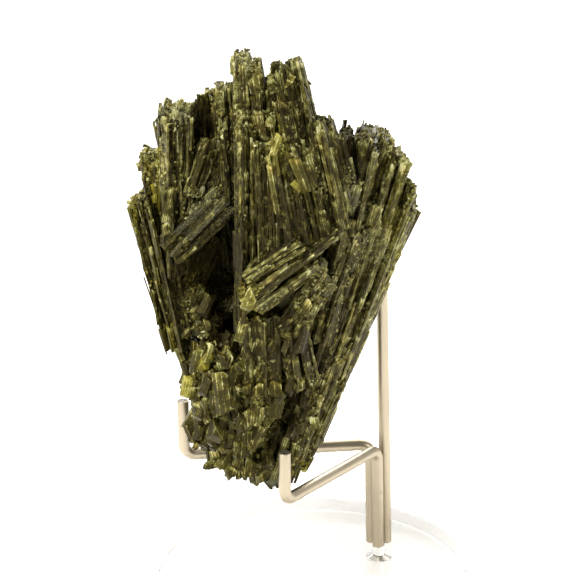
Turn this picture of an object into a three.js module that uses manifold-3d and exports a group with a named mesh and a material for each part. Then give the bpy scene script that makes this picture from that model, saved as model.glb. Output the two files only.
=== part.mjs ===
import * as THREE from "three";
import { ConvexGeometry } from "three/addons/geometries/ConvexGeometry.js";
import { mergeVertices } from "three/addons/utils/BufferGeometryUtils.js";
import Module from "manifold-3d";

// An epidote specimen resting on a bent-rod display stand. Millimetres, +Z up,
// origin at the centre of the base disc's underside, viewer on the -Y side.

const wasm = await Module();
wasm.setup();

// Base disc: clear acrylic, turned and polished.
const BASE_RADIUS = 40;
const BASE_HEIGHT = 10;
const BASE_BEVEL = 0.8;
const BASE_SIDES = 48;

// Screw that comes up from below and holds the rods.
const SCREW_RADIUS = 1.5;
const SCREW_HEAD_RADIUS = 3.2;
const SCREW_HEAD_HEIGHT = 2.4;
const SCREW_CLEARANCE = 0.3;
const SCREW_SLOT_WIDTH = 0.8;
const SCREW_SLOT_DEPTH = 0.9;
const SCREW_SIDES = 16;
const SCREW_AT = [17.6, 10.9];

// Rods: 3 mm stainless wire, bent cold.
const ROD_RADIUS = 1.5;
const ROD_SIDES = 12;
const ROD_BEND_RADIUS = 3;
const ROD_BEND_STEPS = 4;
const ROD_FOOT = BASE_HEIGHT + 0.3;
const ARM_LEVEL = 38;
const TALL_ROD_TOP = 112;

// Gap kept between the crystals and the rods they lean on.
const REST_GAP = 0.3;

// The viewpoint of the photograph, in the same frame.
const EYE_TILT = 20 * Math.PI / 180;
const EYE_DISTANCE = 620;
const EYE_AIM = [-6.55, -9, 89.27];
const EYE_FOCAL = 2525;
const PICTURE_CENTRE = 287.5;

// The specimen's middle plane. Depths below are measured from it to the viewer,
// and one picture point covers this many millimetres there.
const MIDDLE_Y = -9;
const MM_PER_POINT = 0.247;

// How far neighbours in a sheaf grow into each other, how narrow a broken tip's
// slope may be, and the size below which details are merged (mm).
const OVERLAP = 1.35;
const TIP_SLOPE = [0.15, 0.9];
const SMALLEST_DETAIL = 0.16;

const VIEW_DIRECTION = new THREE.Vector3(0, Math.cos(EYE_TILT), -Math.sin(EYE_TILT));
const VIEW_UP = new THREE.Vector3(0, Math.sin(EYE_TILT), Math.cos(EYE_TILT));
const EYE = new THREE.Vector3(...EYE_AIM).addScaledVector(VIEW_DIRECTION, -EYE_DISTANCE);

// The point seen at a picture position, on the plane that lies the given depth
// in front of the specimen's middle.
function seen(px, py, depth) {
  const ray = VIEW_DIRECTION.clone();
  ray.x += (px - PICTURE_CENTRE) / EYE_FOCAL;
  ray.addScaledVector(VIEW_UP, (PICTURE_CENTRE - py) / EYE_FOCAL);
  const reach = (MIDDLE_Y - depth - EYE.y) / ray.y;
  return EYE.clone().addScaledVector(ray, reach);
}

// Repeatable random numbers from 0 to 1.
let seed = 2;
function chance() {
  seed = (Math.imul(seed, 1664525) + 1013904223) >>> 0;
  return seed / 4294967296;
}

function within(low, high) {
  return low + (high - low) * chance();
}

function solid(geometry) {
  geometry.deleteAttribute("normal");
  geometry.deleteAttribute("uv");
  const merged = mergeVertices(geometry, 1e-5);
  return new wasm.Manifold(new wasm.Mesh({
    numProp: 3,
    vertProperties: new Float32Array(merged.attributes.position.array),
    triVerts: new Uint32Array(merged.index.array),
  }));
}

function geometryOf(manifold) {
  const mesh = manifold.getMesh();
  const geometry = new THREE.BufferGeometry();
  geometry.setAttribute("position", new THREE.BufferAttribute(mesh.vertProperties, 3));
  geometry.setIndex(new THREE.BufferAttribute(mesh.triVerts, 1));
  return geometry;
}

// Joins a list of solids two by two, which is quicker than one after another.
function joined(solids) {
  let rest = solids;
  while (rest.length > 1) {
    const next = [];
    for (let i = 0; i < rest.length; i += 2) {
      next.push(i + 1 < rest.length ? rest[i].add(rest[i + 1]) : rest[i]);
    }
    rest = next;
  }
  return rest[0];
}

// A prismatic crystal from root to tip. Its section is a polygon that is as wide
// as the spans given, across and in depth, and its tip is broken off aslant.
function crystal(root, tip, across, rootSpan, tipSpan, sides) {
  const axis = tip.clone().sub(root).normalize();
  const wide = across.clone().addScaledVector(axis, -across.dot(axis)).normalize();
  const deep = new THREE.Vector3().crossVectors(axis, wide);
  const phase = within(0, 2 * Math.PI);
  const slant = within(0, 2 * Math.PI);
  const slope = within(...TIP_SLOPE) * tipSpan[0];
  const points = [];
  for (let k = 0; k < sides; k += 1) {
    const angle = phase + (k + within(-0.18, 0.18)) * 2 * Math.PI / sides;
    const x = Math.cos(angle) / 2;
    const y = Math.sin(angle) / 2;
    const drop = slope * (Math.cos(angle - slant) - 1) / 2;
    const low = root.clone().addScaledVector(wide, x * rootSpan[0]);
    points.push(low.addScaledVector(deep, y * rootSpan[1]));
    const high = tip.clone().addScaledVector(wide, x * tipSpan[0]);
    points.push(high.addScaledVector(deep, y * tipSpan[1]).addScaledVector(axis, drop));
  }
  return solid(new ConvexGeometry(points));
}

// Sheaves of crystals. Each row: root (picture x, y and depth in mm), tip (the
// same), breadth at root and tip (picture points), thickness at root and tip
// (mm), crystals across, crystals in depth, unevenness of the tips (points).
const SHEAVES = [
  // upper middle: left peak, right peak and the ledges below them
  [247, 150, 8, 242, 50, 4, 20, 12, 10, 6, 1, 1, 1],
  [266, 150, 8, 251, 57, 4, 18, 13, 10, 7, 1, 1, 1],
  [314, 190, 10, 285, 58, 4, 32, 26, 12, 8, 3, 1, 3],
  [290, 160, 10, 274, 69, 5, 16, 10, 10, 6, 1, 1, 2],
  [270, 170, 10, 263, 80, 6, 26, 24, 8, 6, 2, 1, 4],
  [232, 200, 7, 226, 79, 1, 20, 20, 12, 9, 2, 1, 6],
  [342, 215, 12, 322, 111, 4, 22, 14, 10, 8, 2, 1, 6],
  // middle front: upright blades at the left, leaning ones at the right
  [292, 225, 17, 268, 98, 11, 36, 36, 8, 6, 3, 1, 10],
  [248, 304, 15, 247, 112, 12, 20, 18, 9, 7, 2, 1, 12],
  [272, 264, 17, 266, 130, 15, 26, 26, 8, 6, 3, 1, 20],
  [300, 242, 18, 279, 133, 16, 28, 26, 8, 5, 3, 1, 12],
  [322, 234, 17, 298, 140, 15, 22, 20, 8, 5, 2, 1, 10],
  [304, 194, 21, 284, 142, 17, 12, 11, 5, 4, 1, 1, 2],
  [338, 228, 14, 315, 116, 10, 18, 16, 9, 7, 2, 1, 8],
  [353, 206, 9, 331, 124, 5, 14, 14, 11, 8, 1, 1, 3],
  // wall of the middle sheaf beside the deep cavity
  [243, 332, 9, 243, 196, 9, 8, 8, 20, 20, 1, 2, 20],
  // rods lying aslant across the middle
  [246, 276, 20, 304, 238, 20, 10, 9, 5, 5, 1, 1, 3],
  [246, 300, 21, 343, 226, 18, 11, 9, 6, 5, 1, 1, 3],
  [256, 308, 19, 326, 256, 17, 12, 12, 6, 6, 1, 1, 5],
  [284, 330, 15, 334, 268, 14, 20, 24, 7, 6, 3, 1, 12],
  [296, 338, 17, 313, 298, 18, 9, 12, 4, 3, 1, 1, 3],
  // columns of the lower middle
  [262, 388, 14, 259, 306, 16, 36, 34, 8, 8, 3, 1, 8],
  [304, 378, 13, 290, 312, 15, 26, 24, 8, 8, 2, 1, 8],
  // right fan, upper part
  [320, 300, 0, 355, 128, -3, 20, 26, 14, 14, 2, 1, 5],
  [336, 300, 1, 378, 128, -2, 22, 32, 16, 18, 3, 1, 5],
  [350, 300, 1, 400, 143, -4, 18, 24, 16, 18, 2, 1, 8],
  [360, 310, 0, 411, 174, -5, 12, 14, 14, 16, 1, 1, 8],
  // right fan, its straight bright edge and the middle
  [314, 440, -1, 414, 199, -4, 10, 9, 16, 18, 1, 2, 8],
  [306, 420, 6, 392, 200, 5, 22, 28, 8, 8, 2, 1, 24],
  [302, 400, 9, 370, 195, 8, 22, 28, 7, 7, 2, 1, 26],
  [320, 340, 11, 356, 215, 11, 20, 26, 6, 6, 2, 1, 16],
  [300, 458, 0, 341, 366, -1, 12, 12, 14, 16, 1, 1, 6],
  [283, 472, 3, 332, 345, 7, 24, 30, 8, 8, 2, 1, 18],
  [296, 452, 6, 316, 376, 8, 14, 18, 8, 8, 1, 1, 4],
  // left columns and the slab above the cavity
  [175, 270, 4, 172, 100, 0, 22, 20, 14, 14, 2, 1, 5],
  [190, 232, 6, 184, 98, 0, 16, 18, 10, 10, 2, 1, 6],
  [168, 246, 12, 167, 184, 9, 9, 8, 4, 4, 1, 1, 2],
  [216, 190, -2, 208, 88, -6, 26, 32, 10, 10, 2, 1, 5],
  [192, 196, 10, 213, 134, 5, 14, 14, 6, 6, 2, 1, 8],
  [208, 202, 8, 226, 142, 3, 12, 12, 6, 6, 2, 1, 6],
  [170, 250, 10, 228, 193, 9, 26, 28, 7, 6, 3, 1, 8],
  [184, 300, 5, 214, 226, -3, 24, 26, 8, 8, 2, 1, 9],
  // left block that leans outwards
  [178, 342, 1, 142, 191, -4, 20, 24, 16, 18, 3, 1, 3],
  [186, 330, 6, 156, 200, 1, 14, 18, 8, 8, 2, 1, 8],
  [166, 250, -2, 150, 148, -5, 16, 18, 12, 12, 1, 1, 6],
  // back of the cavity
  [226, 360, -3, 222, 200, -10, 32, 40, 6, 6, 2, 1, 12],
  // back face: the great sheaf from the foot upwards, in tiers
  [262, 440, -13, 252, 80, -12, 36, 60, 12, 13, 2, 1, 8],
  [236, 430, -11, 194, 104, -12, 30, 62, 12, 13, 2, 1, 10],
  [292, 440, -10, 352, 142, -11, 34, 66, 10, 11, 2, 1, 9],
  [252, 455, -14, 250, 140, -21, 34, 80, 9, 11, 3, 1, 26],
  [280, 450, -13, 316, 180, -19, 28, 48, 9, 11, 2, 1, 14],
  [300, 440, -9, 384, 178, -14, 20, 34, 8, 9, 2, 1, 12],
  [226, 440, -12, 178, 210, -16, 20, 44, 9, 11, 2, 1, 8],
  [262, 466, -10, 284, 286, -21, 30, 56, 9, 9, 2, 1, 8],
];

// Every sheaf becomes crystals side by side; each gets its own small offsets.
function sheafCrystals(row) {
  const [rx, ry, rd, tx, ty, td] = row;
  const [rootWide, tipWide, rootDeep, tipDeep, nAcross, nDeep, uneven] = row.slice(6);
  const length = Math.hypot(tx - rx, ty - ry);
  const acrossX = (ry - ty) / length;
  const acrossY = (tx - rx) / length;
  const across = new THREE.Vector3(acrossX, 0, -acrossY);
  const made = [];
  for (let i = 0; i < nAcross; i += 1) {
    for (let j = 0; j < nDeep; j += 1) {
      const a = (i + 0.5) / nAcross - 0.5 + within(-0.1, 0.1) / nAcross;
      const b = (j + 0.5) / nDeep - 0.5;
      const shorter = within(0, 1) * uneven;
      const nearer = within(-0.8, 0.8);
      const rootAt = seen(
        rx + acrossX * rootWide * a,
        ry + acrossY * rootWide * a,
        rd - rootDeep * b,
      );
      const tipAt = seen(
        tx + acrossX * tipWide * a + (rx - tx) / length * shorter,
        ty + acrossY * tipWide * a + (ry - ty) / length * shorter,
        td - tipDeep * b + nearer,
      );
      const size = OVERLAP * within(0.85, 1.1);
      const rootSpan = [rootWide / nAcross * MM_PER_POINT * size, rootDeep / nDeep * size];
      const tipSpan = [tipWide / nAcross * MM_PER_POINT * size, tipDeep / nDeep * size];
      const sides = 4 + Math.floor(within(0, 1.1));
      made.push(crystal(rootAt, tipAt, across, rootSpan, tipSpan, sides));
    }
  }
  return made;
}

// Broken lumps where the crystals are short and jumbled:
// picture x, y, depth, size (picture points), turn in degrees.
const LUMPS = [
  [192, 358, 7, 22, 60], [208, 354, 10, 22, 70], [228, 366, 11, 24, 50],
  [194, 384, 9, 22, 40], [212, 386, 13, 20, 30], [232, 392, 14, 26, 10], [254, 388, 15, 24, 30],
  [274, 392, 14, 22, 45], [202, 408, 11, 22, 20], [216, 404, 15, 17, 35], [240, 414, 12, 28, 65],
  [264, 408, 13, 26, 15], [200, 430, 6, 24, 15], [220, 432, 9, 28, 75],
  [246, 438, 11, 30, 50], [216, 450, 5, 22, 60], [236, 460, 7, 28, 20], [260, 462, 7, 28, 65],
  [276, 472, 4, 24, 55], [206, 324, 5, 28, 15], [194, 296, 7, 26, 60],
  [224, 304, -2, 30, 70], [152, 168, -1, 20, 30],
];

function lump(row) {
  const [px, py, depth, size, turn] = row;
  const centre = seen(px, py, depth);
  const half = size * MM_PER_POINT / 2;
  const spin = new THREE.Euler(within(-0.5, 0.5), turn * Math.PI / 180, within(-0.6, 0.6));
  const points = [];
  for (const x of [-1, 1]) {
    for (const y of [-1, 1]) {
      for (const z of [-1, 1]) {
        const corner = new THREE.Vector3(x * within(0.6, 1), y * within(0.8, 1.2), z * within(0.7, 1.15));
        points.push(corner.multiplyScalar(half).applyEuler(spin).add(centre));
      }
    }
  }
  return solid(new ConvexGeometry(points));
}

// Grown-together inside of the specimen, which carries the crystals. Each block
// is an outline in the picture with the depths of its front and back.
const BLOCKS = [
  {
    front: 11, back: -16, inset: 0.15,
    outline: [[246, 104], [290, 104], [322, 160], [342, 215], [312, 300], [252, 300], [244, 200]],
  },
  {
    front: 15, back: 0, inset: 0.3,
    outline: [[254, 170], [296, 170], [326, 246], [304, 376], [248, 376], [250, 260]],
  },
  {
    front: 4, back: -14, inset: 0.2,
    outline: [[352, 160], [380, 150], [396, 176], [402, 205], [378, 285], [330, 300], [324, 220]],
  },
  {
    front: 8, back: -13, inset: 0.2,
    outline: [[330, 230], [382, 230], [376, 290], [316, 436], [284, 446], [290, 330]],
  },
  {
    front: 4, back: -13, inset: 0.2,
    outline: [[166, 126], [190, 124], [196, 210], [190, 310], [172, 300], [158, 200]],
  },
  {
    front: 3, back: -11, inset: 0.25,
    outline: [[136, 210], [160, 204], [186, 300], [180, 336]],
  },
  {
    front: -8, back: -18, inset: 0.12,
    outline: [[206, 140], [310, 140], [336, 200], [300, 410], [230, 410], [182, 220]],
  },
  {
    front: 7, back: -15, inset: 0.22,
    outline: [[186, 326], [230, 326], [304, 376], [292, 460], [262, 470], [212, 446], [188, 390]],
  },
  {
    front: 12, back: 0, inset: 0.25,
    outline: [[196, 380], [240, 360], [290, 376], [284, 420], [252, 456], [210, 440]],
  },
];

function block({ front, back, inset, outline }) {
  const centreX = outline.reduce((sum, p) => sum + p[0], 0) / outline.length;
  const centreY = outline.reduce((sum, p) => sum + p[1], 0) / outline.length;
  const middle = (front + back) / 2;
  const points = [];
  for (const [px, py] of outline) {
    points.push(seen(px, py, middle));
    const nearX = px + (centreX - px) * inset;
    const nearY = py + (centreY - py) * inset;
    points.push(seen(nearX, nearY, front));
    points.push(seen(nearX, nearY, back));
  }
  return solid(new ConvexGeometry(points));
}

// Rod along a bent centre line, sampled at its own points.
class BentLine extends THREE.Curve {
  constructor(points) {
    super();
    this.points = points;
  }

  getPoint(t) {
    const place = t * (this.points.length - 1);
    const index = Math.min(Math.floor(place + 1e-9), this.points.length - 2);
    return this.points[index].clone().lerp(this.points[index + 1], place - index);
  }

  getPointAt(t) {
    return this.getPoint(t);
  }

  getTangent(t) {
    const place = Math.round(t * (this.points.length - 1));
    const before = this.points[Math.max(place - 1, 0)];
    const after = this.points[Math.min(place + 1, this.points.length - 1)];
    return after.clone().sub(before).normalize();
  }

  getTangentAt(t) {
    return this.getTangent(t);
  }
}

// Centre line with every inner corner rounded to the bend radius.
function roundedLine(corners) {
  const line = [corners[0]];
  for (let i = 1; i < corners.length - 1; i += 1) {
    const towardBefore = corners[i - 1].clone().sub(corners[i]).normalize();
    const towardAfter = corners[i + 1].clone().sub(corners[i]).normalize();
    const half = towardBefore.angleTo(towardAfter) / 2;
    const cut = ROD_BEND_RADIUS / Math.tan(half);
    const middle = towardBefore.clone().add(towardAfter).normalize();
    const centre = corners[i].clone().addScaledVector(middle, ROD_BEND_RADIUS / Math.sin(half));
    const start = corners[i].clone().addScaledVector(towardBefore, cut).sub(centre);
    const end = corners[i].clone().addScaledVector(towardAfter, cut).sub(centre);
    const turn = start.angleTo(end);
    for (let k = 0; k <= ROD_BEND_STEPS; k += 1) {
      const t = k / ROD_BEND_STEPS;
      const point = start.clone().multiplyScalar(Math.sin((1 - t) * turn));
      point.addScaledVector(end, Math.sin(t * turn));
      line.push(point.divideScalar(Math.sin(turn)).add(centre));
    }
  }
  line.push(corners[corners.length - 1]);
  return line;
}

function rodGeometry(corners, radius) {
  const section = new THREE.Shape();
  for (let k = 0; k < ROD_SIDES; k += 1) {
    const angle = 2 * Math.PI * k / ROD_SIDES;
    const point = [radius * Math.cos(angle), radius * Math.sin(angle)];
    if (k === 0) {
      section.moveTo(...point);
    } else {
      section.lineTo(...point);
    }
  }
  section.closePath();
  const line = roundedLine(corners.map((p) => new THREE.Vector3(...p)));
  const extrudePath = new BentLine(line);
  return new THREE.ExtrudeGeometry(section, { steps: line.length - 1, extrudePath });
}

const FRONT_HOOK_ROD = [
  [17.3, 9.4, ROD_FOOT],
  [16.7, 9.4, ARM_LEVEL],
  [-7.2, -22.6, ARM_LEVEL],
  [-7.25, -22.8, 51.2],
];

const LEFT_HOOK_ROD = [
  [15.7, 12.3, ROD_FOOT],
  [15, 12.5, ARM_LEVEL],
  [-33.1, 5.8, ARM_LEVEL],
  [-33.3, 5.6, 53.2],
];

const TALL_ROD = [
  [19.4, 12.1, ROD_FOOT],
  [16.7, 14.2, TALL_ROD_TOP],
];

const RODS = [FRONT_HOOK_ROD, LEFT_HOOK_ROD, TALL_ROD];

// Leaves out closed pockets and crumbs that hang on nothing.
function largestBody(mass) {
  const bodies = mass.decompose();
  bodies.sort((one, two) => two.volume() - one.volume());
  return bodies[0];
}

function specimenGeometry() {
  const pieces = BLOCKS.map(block);
  for (const row of SHEAVES) {
    pieces.push(...sheafCrystals(row));
  }
  for (const row of LUMPS) {
    pieces.push(lump(row));
  }
  let mass = joined(pieces);
  for (const corners of RODS) {
    mass = mass.subtract(solid(rodGeometry(corners, ROD_RADIUS + REST_GAP)));
  }
  mass = largestBody(largestBody(mass).simplify(SMALLEST_DETAIL));
  return geometryOf(mass);
}

function baseGeometry() {
  const profile = [
    [0, 0],
    [BASE_RADIUS - BASE_BEVEL, 0],
    [BASE_RADIUS, BASE_BEVEL],
    [BASE_RADIUS, BASE_HEIGHT - BASE_BEVEL],
    [BASE_RADIUS - BASE_BEVEL, BASE_HEIGHT],
    [0, BASE_HEIGHT],
  ].map(([x, y]) => new THREE.Vector2(x, y));
  const disc = new THREE.LatheGeometry(profile, BASE_SIDES);
  disc.rotateX(Math.PI / 2);
  const hole = turnedScrew(SCREW_CLEARANCE, BASE_HEIGHT + 1, -1);
  return geometryOf(solid(disc).subtract(hole));
}

// The countersunk screw's outline, or the hole for it when widened by a gap.
function turnedScrew(gap, top, bottom) {
  const taper = SCREW_HEAD_RADIUS - SCREW_RADIUS;
  const profile = [
    [0, bottom],
    [SCREW_HEAD_RADIUS + gap, bottom],
    [SCREW_HEAD_RADIUS + gap, SCREW_HEAD_HEIGHT - taper],
    [SCREW_RADIUS + gap, SCREW_HEAD_HEIGHT],
    [SCREW_RADIUS + gap, top],
    [0, top],
  ].map(([x, y]) => new THREE.Vector2(x, y));
  const turned = new THREE.LatheGeometry(profile, SCREW_SIDES);
  turned.rotateX(Math.PI / 2);
  turned.translate(SCREW_AT[0], SCREW_AT[1], 0);
  return solid(turned);
}

function screwGeometry() {
  const slot = new THREE.BoxGeometry(SCREW_HEAD_RADIUS * 3, SCREW_SLOT_WIDTH, SCREW_SLOT_DEPTH * 2);
  slot.translate(SCREW_AT[0], SCREW_AT[1], 0);
  return geometryOf(turnedScrew(0, BASE_HEIGHT, 0).subtract(solid(slot)));
}

const epidoteMaterial = new THREE.MeshStandardMaterial({
  color: 0x4d4f26,
  roughness: 0.35,
  metalness: 0,
});

const steelMaterial = new THREE.MeshStandardMaterial({
  color: 0xb8b0a2,
  roughness: 0.38,
  metalness: 1,
});

const acrylicMaterial = new THREE.MeshStandardMaterial({
  color: 0xf4efe6,
  roughness: 0.05,
  metalness: 0,
});

function piece(name, geometry, material) {
  const mesh = new THREE.Mesh(geometry, material);
  mesh.name = name;
  return mesh;
}

const object = new THREE.Group();
object.name = "epidote_on_stand";
object.add(piece("base_disc", baseGeometry(), acrylicMaterial));
object.add(piece("base_screw", screwGeometry(), steelMaterial));
object.add(piece("rod_front_hook", rodGeometry(FRONT_HOOK_ROD, ROD_RADIUS), steelMaterial));
object.add(piece("rod_left_hook", rodGeometry(LEFT_HOOK_ROD, ROD_RADIUS), steelMaterial));
object.add(piece("rod_back_support", rodGeometry(TALL_ROD, ROD_RADIUS), steelMaterial));
object.add(piece("epidote", specimenGeometry(), epidoteMaterial));

export default object;
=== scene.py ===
import math

import bmesh
import bpy
import numpy as np
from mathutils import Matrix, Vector
from mathutils.bvhtree import BVHTree


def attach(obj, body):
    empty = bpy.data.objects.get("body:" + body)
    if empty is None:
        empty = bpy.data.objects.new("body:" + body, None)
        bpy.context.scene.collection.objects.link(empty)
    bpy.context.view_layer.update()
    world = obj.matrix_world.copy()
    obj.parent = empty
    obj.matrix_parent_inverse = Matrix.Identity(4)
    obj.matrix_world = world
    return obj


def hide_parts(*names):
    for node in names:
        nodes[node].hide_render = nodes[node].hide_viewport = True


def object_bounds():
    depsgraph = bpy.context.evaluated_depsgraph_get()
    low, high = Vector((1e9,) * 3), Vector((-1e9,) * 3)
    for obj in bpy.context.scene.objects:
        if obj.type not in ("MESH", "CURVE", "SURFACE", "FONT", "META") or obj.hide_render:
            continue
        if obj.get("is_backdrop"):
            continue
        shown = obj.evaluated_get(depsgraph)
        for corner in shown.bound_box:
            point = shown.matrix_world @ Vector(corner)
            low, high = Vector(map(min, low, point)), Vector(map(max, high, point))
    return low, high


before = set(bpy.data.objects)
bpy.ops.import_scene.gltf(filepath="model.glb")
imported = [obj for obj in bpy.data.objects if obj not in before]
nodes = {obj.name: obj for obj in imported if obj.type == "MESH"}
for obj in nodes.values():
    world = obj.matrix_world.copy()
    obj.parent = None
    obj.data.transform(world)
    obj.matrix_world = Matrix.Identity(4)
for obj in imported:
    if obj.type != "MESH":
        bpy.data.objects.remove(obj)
cad_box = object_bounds()

# Viewpoint of the photograph: about 0.6 m in front of the specimen and 20 degrees above
# it, with a long lens. The same numbers turn a picture position into a place.
PICTURE = 575
FOCAL_POINTS = 2525
EYE_TILT = math.radians(20)
EYE = Vector((-0.00655, -0.5916, 0.3013))
VIEW_ALONG = Vector((0, math.cos(EYE_TILT), -math.sin(EYE_TILT)))
VIEW_UP = Vector((0, math.sin(EYE_TILT), math.cos(EYE_TILT)))

lens = bpy.data.cameras.new("viewpoint")
lens.sensor_width = 36
lens.lens = 36 * FOCAL_POINTS / PICTURE
lens.clip_start = 0.05
lens.clip_end = 20
camera = bpy.data.objects.new("viewpoint", lens)
camera.location = EYE
camera.rotation_euler = (math.pi / 2 - EYE_TILT, 0, 0)
bpy.context.scene.collection.objects.link(camera)
bpy.context.scene.camera = camera

# Studio: a white room, a large soft box high on the left in front, a weaker one on the
# right and one from behind that makes the crystal edges glow.


class Socket:
    """A shader socket that takes part in Python sums; also adds nodes to its tree."""

    def __init__(self, tree, socket=None):
        self.tree = tree
        self.socket = socket

    def add(self, kind, settings=None, sockets=None, output=0):
        node = self.tree.nodes.new(kind)
        for name, value in (settings or {}).items():
            if name == "stops":
                ramp = node.color_ramp.elements
                while len(ramp) < len(value):
                    ramp.new(0.5)
                for element, (position, colour) in zip(ramp, value):
                    element.position = position
                    element.color = colour
            else:
                setattr(node, name, value)
        for name, value in (sockets or {}).items():
            if isinstance(value, Socket):
                self.tree.links.new(value.socket, node.inputs[name])
            else:
                node.inputs[name].default_value = value
        return Socket(self.tree, node.outputs[output])

    def math(self, operation, first, second=0.0, clamp=False):
        settings = {"operation": operation, "use_clamp": clamp}
        return self.add("ShaderNodeMath", settings, {0: first, 1: second})

    def clamped(self):
        return self.math("ADD", self, 0.0, clamp=True)

    def mixed(self, factor, first, second, mode="MIX"):
        settings = {"data_type": "RGBA", "blend_type": mode, "clamp_factor": True}
        return self.add("ShaderNodeMix", settings, {0: factor, 6: first, 7: second}, 2)

    def ramp(self, *stops):
        return self.add("ShaderNodeValToRGB", {"stops": stops}, {"Fac": self})

    def stretched(self, *scale):
        return self.add("ShaderNodeMapping", None, {"Vector": self, "Scale": scale})

    def noise(self, scale, detail, roughness=0.5):
        sockets = {"Vector": self, "Scale": scale, "Detail": detail, "Roughness": roughness}
        return self.add("ShaderNodeTexNoise", None, sockets)

    def __add__(self, other):
        return self.math("ADD", self, other)

    __radd__ = __add__

    def __sub__(self, other):
        return self.math("SUBTRACT", self, other)

    def __rsub__(self, other):
        return self.math("SUBTRACT", other, self)

    def __mul__(self, other):
        return self.math("MULTIPLY", self, other)

    __rmul__ = __mul__

    def __truediv__(self, other):
        return self.math("DIVIDE", self, other)

    def __rtruediv__(self, other):
        return self.math("DIVIDE", other, self)

    def __pow__(self, other):
        return self.math("POWER", self, other)


bpy.context.scene.view_settings.view_transform = "Standard"
room = bpy.data.worlds.new("white_room")
room.use_nodes = True
bpy.context.scene.world = room
air = Socket(room.node_tree)
outward = air.add("ShaderNodeTexCoord", None, None, "Generated")
to_the_back = air.add("ShaderNodeSeparateXYZ", None, {"Vector": outward}, "Y")
walls = (to_the_back * 0.5 + 0.5).ramp((0.25, (0.2, 0.2, 0.19, 1)), (0.95, (1.0, 0.99, 0.97, 1)))
room.node_tree.links.new(walls.socket, room.node_tree.nodes["Background"].inputs["Color"])


def soft_box(name, place, aim, size, watts, colour):
    lamp = bpy.data.lights.new(name, "AREA")
    lamp.shape = "RECTANGLE"
    lamp.size, lamp.size_y = size
    lamp.energy = watts
    lamp.color = colour
    holder = bpy.data.objects.new(name, lamp)
    holder.location = place
    holder.rotation_euler = (Vector(aim) - Vector(place)).to_track_quat("-Z", "Y").to_euler()
    holder.visible_camera = False
    bpy.context.scene.collection.objects.link(holder)


soft_box("key_light", (-0.8, -0.9, 1.3), (-0.01, -0.01, 0.09), (0.5, 0.5), 34, (1, 0.99, 0.96))
soft_box("fill_light", (1.5, -0.7, 0.7), (0, 0, 0.09), (0.7, 0.7), 8, (1, 0.98, 0.95))
soft_box("rim_light", (0.5, 1.4, 1.1), (0, 0, 0.09), (0.8, 0.5), 14, (1, 0.99, 0.95))


# Floor: a wide sheet of smooth white paper that lies flat under the stand and is lit a
# little through from below, as on a light table.
FLOOR_LEVEL = -0.0002
FLOOR_REACH = 3


class Finish:
    """A material with one main shader. Constants go straight on the shader's sockets."""

    def __init__(self, name, constants):
        self.material = bpy.data.materials.new(name)
        self.material.use_nodes = True
        self.graph = Socket(self.material.node_tree)
        self.shader = self.material.node_tree.nodes["Principled BSDF"]
        self.place = self.graph.add("ShaderNodeTexCoord", None, None, "Object")
        for socket, value in constants.items():
            self.shader.inputs[socket].default_value = value

    def feed(self, name, value):
        self.graph.tree.links.new(value.socket, self.shader.inputs[name])

    def bump(self, height, distance, strength):
        sockets = {"Height": height, "Distance": distance, "Strength": strength}
        self.feed("Normal", self.graph.add("ShaderNodeBump", None, sockets))


paper = Finish(
    "white_paper",
    {
        "Roughness": 0.9, "Specular IOR Level": 0.1,
        "Emission Color": (1.0, 0.995, 0.98, 1), "Emission Strength": 0.55,
    },
)
fibres = paper.place.noise(40.0, 3.0)
paper.feed("Base Color", paper.graph.mixed(fibres, (0.93, 0.925, 0.91, 1), (0.95, 0.945, 0.935, 1)))


def mesh_of(name, bm):
    mesh = bpy.data.meshes.new(name)
    bm.to_mesh(mesh)
    bm.free()
    return mesh


def in_scene(mesh, *materials):
    """The mesh as an object at the origin of the frame, with its materials."""
    for material in materials:
        mesh.materials.append(material)
    thing = bpy.data.objects.new(mesh.name, mesh)
    bpy.context.scene.collection.objects.link(thing)
    return thing


sheet = bmesh.new()
bmesh.ops.create_grid(sheet, x_segments=4, y_segments=4, size=FLOOR_REACH)
bmesh.ops.translate(sheet, verts=sheet.verts, vec=(0, 0, FLOOR_LEVEL))
in_scene(mesh_of("floor", sheet), paper.material)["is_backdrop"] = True

# Base disc: a round of clear cast acrylic, 80 mm across and 10 mm thick, turned and
# polished, with its two rims broken by a small bevel. A countersunk hole goes up from
# below for the screw that holds the rods.
BASE_RADIUS = 0.040
BASE_HEIGHT = 0.010
BASE_BEVEL = 0.00015
SHARP_RIM = 0.15  # radians between faces, past which an edge stays crisp
BASE_STEPS = 128
SCREW_AT = (0.0176, 0.0109)
SCREW_RADIUS = 0.0015
SCREW_HEAD_RADIUS = 0.0032
SCREW_HEAD_HEIGHT = 0.0024
HOLE_GAP = 0.0003


def shown(mesh, node, slot, *materials):
    """The mesh as a piece of the one body, in place of a node of the model."""
    piece = in_scene(mesh, *materials)
    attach(piece, "root")
    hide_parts(node)


disc = bmesh.new()
DISC_RINGS = [
    # centre, radius, height: up the outside, across the top and down the hole
    ((0, 0), BASE_RADIUS, 0),
    ((0, 0), BASE_RADIUS, BASE_HEIGHT),
    (SCREW_AT, SCREW_RADIUS + HOLE_GAP, BASE_HEIGHT),
    (SCREW_AT, SCREW_RADIUS + HOLE_GAP, SCREW_HEAD_HEIGHT),
    (SCREW_AT, SCREW_HEAD_RADIUS + HOLE_GAP, SCREW_HEAD_HEIGHT - SCREW_HEAD_RADIUS + SCREW_RADIUS),
    (SCREW_AT, SCREW_HEAD_RADIUS + HOLE_GAP, 0),
]
rings = []
for (x, y), radius, height in DISC_RINGS:
    before = set(disc.edges)
    made = bmesh.ops.create_circle(disc, cap_ends=False, segments=BASE_STEPS, radius=radius)
    bmesh.ops.translate(disc, verts=made["verts"], vec=(x, y, height))
    rings.append([e for e in disc.edges if e not in before])
for ring, following in zip(rings, rings[1:] + rings[:1]):
    bmesh.ops.bridge_loops(disc, edges=ring + following)
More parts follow.
